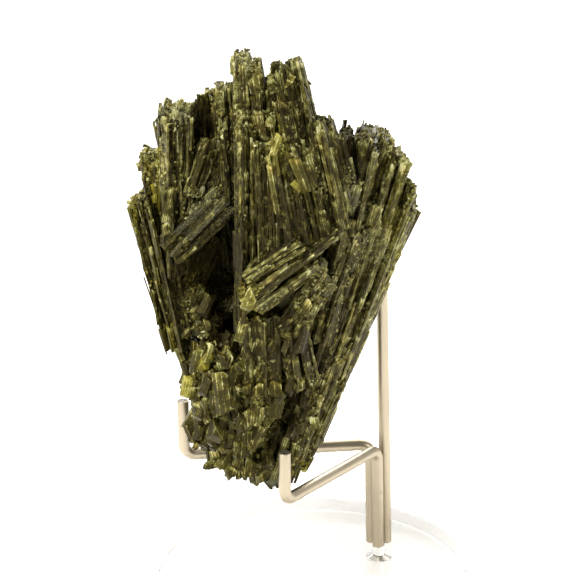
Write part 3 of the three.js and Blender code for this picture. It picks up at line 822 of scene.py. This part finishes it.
def dressed(parent, dice, rows):
    """Covers one large crystal with fine ones: blades side by side along its flat
    sides, broken lengths over them, and short ones that fill its broken top."""
    length = np.linalg.norm(parent["tip"] - parent["root"])
    tone = 0.47 + dice.normal(0, 0.15)
    corners = parent["corners"]

    def at(xy, reach, out=0.0, normal=0.0):
        span = parent["root_span"] * (1 - reach) + parent["tip_span"] * reach
        middle = parent["root"] * (1 - reach) + parent["tip"] * reach
        middle = middle + parent["wide"] * xy[0] * span[0] + parent["deep"] * xy[1] * span[1]
        return middle + normal * out

    def top(xy):
        lean = xy[0] * math.cos(parent["slant"]) + xy[1] * math.sin(parent["slant"])
        return parent["slope"] * (2 * lean - 1) / 2 / length

    for first, second in zip(corners, np.roll(corners, -1, axis=0)):
        along = (second - first) * parent["tip_span"]
        side = np.linalg.norm(along)
        low_side = np.linalg.norm((second - first) * parent["root_span"])
        normal = parent["wide"] * along[1] - parent["deep"] * along[0]
        normal = normal / np.linalg.norm(normal)
        middle = (first + second) * parent["tip_span"]
        if normal @ (parent["wide"] * middle[0] + parent["deep"] * middle[1]) < 0:
            normal = -normal
        reached = -0.1 * dice.rand()
        while reached < 1:
            size = about(dice, BLADE_WIDTH, 0.5, THINNEST, 0.0025)
            xy = first + (second - first) * min(max(reached + size / side / 2, 0), 1)
            reached += size / side * dice.uniform(0.75, 1)
            blade_tone = tone + dice.normal(0, 0.22)
            high = 1 + top(xy) - abs(dice.normal(0, 0.0013)) / length
            while high > 0.03:
                run = about(dice, BLADE_LENGTH, 0.7, 0.0025, 0.04) / length
                low = high - run if high - run > 0.12 else 0
                out = dice.normal(-0.00005, 0.00028)
                thick = size * dice.uniform(0.75, 1.15) * np.array((1, dice.uniform(0.4, 0.9)))
                taper = (low_side + (side - low_side) * low) / side
                # painted light and shade: the blade's tone rises with how far it stands out
                add_crystal(
                    rows, dice, at(xy, low, out, normal),
                    at(xy, high, out, normal) + dice.normal(0, 0.00022, 3),
                    normal, thick * taper * dice.uniform(0.85, 1.05), thick,
                    blade_tone + dice.normal(0, 0.08) + out * PROUD_PAINTED_LIGHTER,
                )
                high = low + 0.0004 / length if low else 0
        for _ in range(int(length * side * LOOSE_PER_AREA)):
            xy = first + (second - first) * dice.rand()
            size = about(dice, LOOSE_WIDTH, 0.4, THINNEST, 0.002)
            reach = about(dice, LOOSE_LENGTH, 0.5, 0.0012, 0.01)
            high = (1 + top(xy)) * dice.rand() ** 0.7
            foot = at(xy, high, dice.normal(0.0001, 0.0002), normal) - parent["axis"] * reach
            lean = parent["axis"] + dice.normal(0, 0.08, 3) + normal * dice.normal(0.03, 0.06)
            thick = size * np.array((1, dice.uniform(0.4, 0.9)))
            add_crystal(
                rows, dice, foot, foot + lean / np.linalg.norm(lean) * reach, normal,
                thick * dice.uniform(0.6, 1), thick, tone + 0.06 + dice.normal(0, 0.2),
            )
    reach = np.abs(corners).max(axis=0)
    for _ in range(int(parent["tip_span"][0] * parent["tip_span"][1] / TOP_WIDTH ** 2)):
        xy = dice.uniform(-1, 1, 2) * reach * 0.8
        if np.hypot(*xy) > 0.4:
            continue
        high = 1 + top(xy) - abs(dice.normal(0, 0.0009)) / length
        low = high - dice.uniform(0.002, 0.004) / length
        size = about(dice, TOP_WIDTH, 0.4, THINNEST, 0.002)
        add_crystal(
            rows, dice, at(xy, low), at(xy, high) + dice.normal(0, 0.0004, 3), parent["wide"],
            np.array((size, size)), np.array((size, size * 0.8)), tone + 0.12 + dice.normal(0, 0.2),
        )


striped = Finish(
    "striped_epidote",
    {
        "IOR": 1.74, "Specular IOR Level": 0.22, "Specular Tint": (1.0, 0.82, 0.34, 1),
        "Subsurface Weight": 0.12, "Subsurface Scale": 0.0012,
        "Subsurface Radius": (1.0, 0.95, 0.25),
    },
)
graph = striped.graph
look = graph.add("ShaderNodeAttribute", {"attribute_name": "look"}, None, "Color")
from_tip = graph.add("ShaderNodeAttribute", {"attribute_name": "look"}, None, "Alpha")
tone, sugar, yellow_glow = (
    graph.add("ShaderNodeSeparateColor", None, {"Color": look}, part)
    for part in ("Red", "Green", "Blue")
)
along = graph.add("ShaderNodeUVMap", {"uv_map": "Striae"})
hairs = along.stretched(13.0, 0.35, 1.0).noise(1.0, 3.0)
striae = along.stretched(4.2, 0.2, 1.0).noise(1.0, 4.0, 0.65)
around = graph.add("ShaderNodeSeparateXYZ", None, {"Vector": along}, "X")
edge = graph.math("ABSOLUTE", graph.math("FRACT", around) - 0.5) * 2
broad = along.stretched(1.0, 0.35, 1.0).noise(1.0, 3.0)
crumbs = striped.place.noise(2600.0, 4.0, 0.7)
cloud = striped.place.noise(120.0, 3.0)
mottle = striped.place.noise(520.0, 5.0, 0.68)
earth = striped.place.noise(240.0, 3.0)
# Painted light: the last two millimetres to each tip are lighter, as light shining through the thin
# tips.
tip_light = (1 - from_tip / 2.0).clamped() ** 1.4
# Edges: crystal edges lighter, partly chipped and worn edges, partly painted light glowing through
# their thin rims.
edge_wear_and_light = (edge ** 6) * (mottle * 2.4 - 0.75).clamped()
grain = crumbs * 0.45 + cloud * 0.4
stripes = striae * 0.45 + hairs * 0.3 + broad * 0.3
depth_of_colour = (
    tone * 0.75 + stripes + grain + mottle * 1.7 - 1.98 + tip_light * 0.32 + edge_wear_and_light
)
olive = depth_of_colour.clamped().ramp(
    (0.0, (0.003, 0.0022, 0.0006, 1)), (0.28, (0.017, 0.013, 0.0022, 1)),
    (0.52, (0.085, 0.078, 0.0145, 1)), (0.78, (0.265, 0.258, 0.078, 1)),
    (1.0, (0.62, 0.61, 0.34, 1)),
)
olive = graph.mixed(((earth - 0.46) * 4).clamped(), olive, (1.0, 0.84, 0.6, 1), "MULTIPLY")
frost = (sugar * 1.3 + crumbs * 2.4 - 1.6).clamped()
frosted = graph.mixed(frost, olive, (0.25, 0.26, 0.16, 1))
# Painted glints: pale specks put into the base colour where a fine noise peaks, most on the sugary
# parts.
glints = striped.place.noise(5200.0, 2.0)
specks = ((glints - 0.66) * 14).clamped() * (sugar * 1.5 + 0.3).clamped()
frosted = graph.mixed(specks, frosted, (0.6, 0.61, 0.48, 1))
# Painted glow: the colour turns bright yellow where the zones give yellow, most near the tips,
# standing in for light shining through thin crystal.
glow = (yellow_glow * (0.5 + tip_light)).clamped()
striped.feed("Base Color", graph.mixed(glow * 0.8, frosted, (0.36, 0.31, 0.02, 1)))
striped.feed("Roughness", (striae * 0.25 + crumbs * 0.2 + sugar * 0.15 + 0.14).clamped())
striped.bump(striae + hairs * 0.6 + mottle * 1.6 + crumbs * (sugar * 1.5 + 0.35), 0.00012, 0.75)

model_steps = Steps(2)
dice = np.random.RandomState(11)
SHEAF_GROUPS = {
    "epidote_middle_crystals": range(0, 23),
    "epidote_right_crystals": range(23, 34),
    "epidote_left_crystals": range(34, 46),
    "epidote_back_crystals": range(46, 54),
}
parents = [list(large_crystals(row, model_steps)) for row in SHEAVES]
for name, group in SHEAF_GROUPS.items():
    rows = start_rows()
    for sheaf in group:
        for parent in parents[sheaf]:
            dressed(parent, dice, rows)
    grown(name, settled(rows))

# Broken blocks: short thick lengths of the same prisms, snapped off and grown fast
# again at all angles. They make up the jumbled lower part, and single ones stand out
# on the sheaves.
BLOCKS_LOOSEST = 0.0024
# picture x, y, breadth, length (points), lean to the right (degrees), tone.
BROKEN_BLOCKS = [
    (208, 342, 12, 40, 18, 0.6), (226, 353, 8, 14, 5, 0.75), (237, 345, 8, 13, 0, 0.7),
    (218, 338, 8, 26, 20, 0.45), (206, 363, 10, 16, 10, 0.8), (187, 386, 11, 24, 28, 0.8),
    (213, 394, 10, 34, 38, 0.7), (213, 405, 14, 14, 20, 0.3), (203, 412, 9, 24, -35, 0.75),
    (246, 368, 22, 12, 0, 0.6), (258, 388, 19, 20, 8, 0.6), (275, 388, 15, 22, -5, 0.55),
    (277, 407, 15, 24, 12, 0.45), (262, 412, 8, 11, 0, 0.8), (190, 420, 14, 22, 25, 0.7),
    (228, 392, 10, 19, -10, 0.4), (232, 372, 12, 20, 5, 0.4), (196, 400, 10, 18, -15, 0.65),
    (182, 360, 8, 30, -12, 0.65), (194, 352, 9, 26, 8, 0.6), (286, 428, 11, 44, 32, 0.3),
    (297, 420, 10, 40, 28, 0.35), (303, 392, 9, 34, 12, 0.3), (276, 440, 10, 30, 26, 0.5),
    (250, 456, 10, 18, 10, 0.65), (262, 474, 14, 16, -12, 0.6), (238, 462, 10, 14, 20, 0.55),
    (226, 446, 12, 14, -5, 0.6), (206, 440, 10, 16, 22, 0.6), (216, 456, 9, 14, 15, 0.7),
    (248, 436, 12, 18, 12, 0.5), (268, 458, 12, 20, 6, 0.6), (242, 424, 14, 16, 25, 0.45),
    (225, 415, 13, 15, -20, 0.6), (262, 430, 10, 20, 18, 0.4), (196, 436, 8, 14, 10, 0.65),
    (305, 308, 10, 18, 35, 0.85), (298, 330, 6, 16, 20, 0.8), (322, 306, 6, 26, 12, 0.6),
    (310, 440, 10, 30, 30, 0.6), (322, 424, 9, 26, 28, 0.7), (250, 300, 12, 22, 30, 0.8),
    (244, 284, 8, 12, 20, 0.85), (215, 316, 8, 10, 40, 0.7), (392, 224, 14, 40, 24, 0.6),
    (380, 250, 10, 30, 28, 0.55), (372, 214, 8, 24, 26, 0.55), (349, 232, 10, 26, 22, 0.5),
    (354, 196, 12, 24, 26, 0.5), (366, 172, 12, 30, 30, 0.45), (340, 262, 12, 30, 25, 0.45),
    (330, 285, 10, 26, 22, 0.4), (300, 175, 12, 34, -24, 0.6), (298, 186, 9, 12, -30, 0.85),
    (276, 145, 8, 22, 16, 0.85), (272, 124, 8, 14, 10, 0.75), (243, 120, 6, 14, 5, 0.8),
    (307, 108, 5, 18, 4, 0.8), (318, 130, 6, 18, 4, 0.75), (288, 84, 22, 8, -70, 0.75),
    (255, 82, 18, 22, -12, 0.65), (168, 205, 6, 36, 10, 0.8), (166, 228, 8, 16, -10, 0.85),
    (155, 198, 4, 12, -8, 0.9),
]
# picture x, y, half width, half height, how many, breadth (points).
STRAY_BLOCKS = [(240, 400, 56, 76, 260, 8), (200, 345, 24, 50, 60, 7), (300, 400, 26, 70, 60, 7)]


def on_surface(px, py):
    """The place on the model's surface seen at a picture position, and its normal."""
    return surface_tree.ray_cast(EYE, (seen(px, py, 0) - EYE).normalized())[:2]


def scattered(dice, px, py, half_wide, half_high, count):
    """Random picture positions in an oval; of this many tries, those that fall inside."""
    for _ in range(count):
        x, y = dice.uniform(-1, 1, 2)
        if x * x + y * y < 1:
            yield px + x * half_wide, py + y * half_high


def placed_block(rows, dice, px, py, breadth, reach, lean, tone):
    """A broken block lying on the surface seen at this picture position."""
    spot, normal = on_surface(px, py)
    if spot is None:
        return
    lean = math.radians(lean)
    axis = np.array(VIEW_UP * math.cos(lean)) + np.array((math.sin(lean), 0, 0))
    axis = axis + dice.normal(0, 0.12, 3)
    half = axis / np.linalg.norm(axis) * reach * POINT / 2
    middle = np.array(spot) - np.array(VIEW_ALONG) * breadth * POINT * dice.uniform(0.1, 0.4)
    thick = np.array((breadth, breadth * dice.uniform(0.6, 0.9))) * POINT
    facing = np.array(normal) * 0.5 - np.array(VIEW_ALONG) + dice.normal(0, 0.25, 3)
    add_crystal(
        rows, dice, middle - half, middle + half, facing,
        thick * dice.uniform(0.8, 1.05), thick, tone,
    )


rows = start_rows()
for block in BROKEN_BLOCKS:
    placed_block(rows, dice, *block)
for *oval, breadth in STRAY_BLOCKS:
    for px, py in scattered(dice, *oval):
        size = breadth * dice.lognormal(0, 0.35)
        reach, lean = size * dice.uniform(1, 2.4), dice.normal(8, 20)
        placed_block(rows, dice, px, py, size, reach, lean, 0.44 + dice.normal(0, 0.28))
grown("epidote_broken_blocks", settled(rows, BLOCKS_LOOSEST))

# Crumbs: short broken bits and grains of epidote that sit on every broken surface,
# thickest on the jumbled lower left part, where hardly a whole crystal is left.
CRUMB_ZONES = [
    # picture x, y, half width, half height, how many, size (mm), sugar
    (235, 400, 62, 80, 900, 0.8, 0.1), (200, 340, 30, 50, 300, 0.8, 0.1),
    (212, 300, 30, 34, 900, 0.55, 0.1), (208, 208, 34, 26, 1500, 0.55, 0.7),
    (132, 196, 14, 12, 200, 0.8, 0.1), (330, 160, 24, 40, 300, 0.6, 0.2),
    (355, 205, 16, 50, 500, 0.7, 0.6), (330, 272, 20, 22, 300, 0.7, 0.6),
    (180, 115, 16, 18, 350, 0.7, 0.5), (232, 110, 16, 40, 350, 0.8, 0.2),
    (246, 64, 14, 18, 260, 0.7, 0.4), (252, 296, 16, 20, 500, 0.7, 0.1),
    (308, 306, 12, 20, 200, 0.9, 0.3), (150, 165, 12, 30, 260, 0.8, 0.2),
    (376, 235, 26, 40, 700, 0.7, 0.4), (408, 170, 14, 44, 300, 0.9, 0.1),
    (300, 420, 24, 50, 400, 0.9, 0.1), (270, 110, 50, 50, 500, 0.7, 0.1),
    (290, 180, 60, 60, 350, 0.6, 0.1), (345, 380, 24, 60, 250, 0.7, 0.1),
    (174, 150, 18, 46, 400, 0.6, 0.3), (140, 250, 16, 60, 200, 0.6, 0.1),
]
PLAIN_FORMS = [0, 4]


def crumb(rows, dice, spot, normal, size, tone):
    """A stubby bit on the surface, standing up from it at any slant."""
    axis = np.array(normal) + dice.normal(0, 0.7, 3)
    axis = axis / np.linalg.norm(axis)
    facing = np.cross(axis, dice.normal(0, 1, 3))
    size = size * dice.lognormal(0, 0.35)
    spot = np.array(spot)
    thick = size * np.array((1, dice.uniform(0.6, 1)))
    add_crystal(
        rows, dice, spot - axis * size * 0.7, spot + axis * size * dice.uniform(0.2, 0.6), facing,
        thick, thick * dice.uniform(0.7, 1), tone, dice.choice(PLAIN_FORMS),
    )


rows = start_rows()
for *oval, size, sugar in CRUMB_ZONES:
    for px, py in scattered(dice, *oval):
        spot, normal = on_surface(px, py)
        if spot is not None:
            lifted = spot + normal * dice.uniform(0, 0.0004)
            crumb(rows, dice, lifted, normal, size / 1000, 0.5 + sugar * 0.1 + dice.normal(0, 0.28))
grown("epidote_front_crumbs", settled(rows))

# Splinters: loose-looking lengths of the same prisms that lie along the large crystals
# and bridge the furrows between them, all round the specimen.
triangles = nodes["epidote"].data
triangles.calc_loop_triangles()
facets = np.array(
    [[triangles.vertices[i].co for i in facet.vertices] for facet in triangles.loop_triangles]
)
normals = np.cross(facets[:, 1] - facets[:, 0], facets[:, 2] - facets[:, 0])
area = np.linalg.norm(normals, axis=1)
every_large = [parent for sheaf in parents for parent in sheaf]


def surface_spots(count):
    """Random places all over the model's surface, with their normals."""
    picks = dice.choice(len(area), count, p=area / area.sum())
    u, v = dice.rand(count, 1), dice.rand(count, 1)
    flip = u + v > 1
    u, v = np.where(flip, 1 - u, u), np.where(flip, 1 - v, v)
    a, b, c = facets[picks, 0], facets[picks, 1], facets[picks, 2]
    return a + (b - a) * u + (c - a) * v, normals[picks] / area[picks, None]


def carriers(spots):
    """For each place, the large crystal whose side it lies on, how far along it lies,
    and how badly it fits."""
    best = np.full(len(spots), 9.0)
    which = np.zeros(len(spots), int)
    along = np.zeros(len(spots))
    for i, parent in enumerate(every_large):
        run = parent["tip"] - parent["root"]
        t = np.clip((spots - parent["root"]) @ run / (run @ run), 0, 1)
        off = spots - parent["root"] - t[:, None] * run
        span = parent["root_span"] + t[:, None] * (parent["tip_span"] - parent["root_span"])
        x, y = off @ parent["wide"] / span[:, 0], off @ parent["deep"] / span[:, 1]
        misfit = np.abs(np.hypot(x, y) - 0.42) + np.abs(off @ parent["axis"]) * 300
        closer = misfit < best
        best, which = np.where(closer, misfit, best), np.where(closer, i, which)
        along = np.where(closer, t, along)
    return which, along, best


SPLINTERS_EACH = 4200
SPLINTER_LENGTH = 0.005
BARE = 0.3  # misfit past which no large crystal carries the place
for name in ("epidote_splinters_one", "epidote_splinters_two"):
    rows = start_rows()
    spots, outward = surface_spots(SPLINTERS_EACH)
    for spot, normal, i, t, misfit in zip(spots, outward, *carriers(spots)):
        tone = 0.48 + dice.normal(0, 0.22)
        parent = every_large[i]
        if misfit > BARE:
            lying = parent["axis"] - normal * (parent["axis"] @ normal) + dice.normal(0, 0.15, 3)
            half = lying / np.linalg.norm(lying) * dice.uniform(0.001, 0.004)
            thick = dice.uniform(0.0006, 0.0018) * np.array((1, dice.uniform(0.5, 0.9)))
            if abs(parent["axis"] @ normal) > 0.75 or dice.rand() < 0.3:
                crumb(rows, dice, spot, normal, 0.0011, tone)
            else:
                ends = spot - half, spot + half
                add_crystal(rows, dice, *ends, normal, thick * 0.9, thick, tone, 4)
            continue
        run = parent["tip"] - parent["root"]
        length = np.linalg.norm(run)
        reach = about(dice, SPLINTER_LENGTH, 0.6, 0.0012, 0.016)
        high = min(t + reach * dice.uniform(0.3, 0.7) / length, 1.0 - dice.rand() * 0.0006 / length)
        low = max(high - reach / length, 0)
        direction = parent["axis"] + dice.normal(0, 0.035, 3) + normal * dice.normal(0.01, 0.03)
        size = about(dice, LOOSE_WIDTH, 0.4, THINNEST, 0.002)
        middle = spot + normal * size * dice.uniform(-0.25, 0.3)
        direction = direction / np.linalg.norm(direction)
        thick = size * np.array((1, dice.uniform(0.4, 0.8)))
        add_crystal(
            rows, dice, middle + direction * (low - t) * length,
            middle + direction * (high - t) * length, normal,
            thick * dice.uniform(0.6, 1), thick, tone, dice.choice([0, 2, 4]),
        )
    grown(name, settled(rows))

# Crumbs all round: a sprinkling of the finest grains over the whole specimen, its back
# and underside too, where the crystals have rubbed and chipped each other.
CRUMBS_ALL_ROUND = 6000
ALL_ROUND_SIZE = 0.0006
rows = start_rows()
for spot, normal in zip(*surface_spots(CRUMBS_ALL_ROUND)):
    lifted = spot + normal * dice.uniform(0, 0.0003)
    crumb(rows, dice, lifted, normal, ALL_ROUND_SIZE, 0.5 + dice.normal(0, 0.28))
grown("epidote_crumbs_all_round", settled(rows))

boxes = {"cad": cad_box, "visual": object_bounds()}
{name: [[float(n) for n in corner] for corner in box] for name, box in boxes.items()}
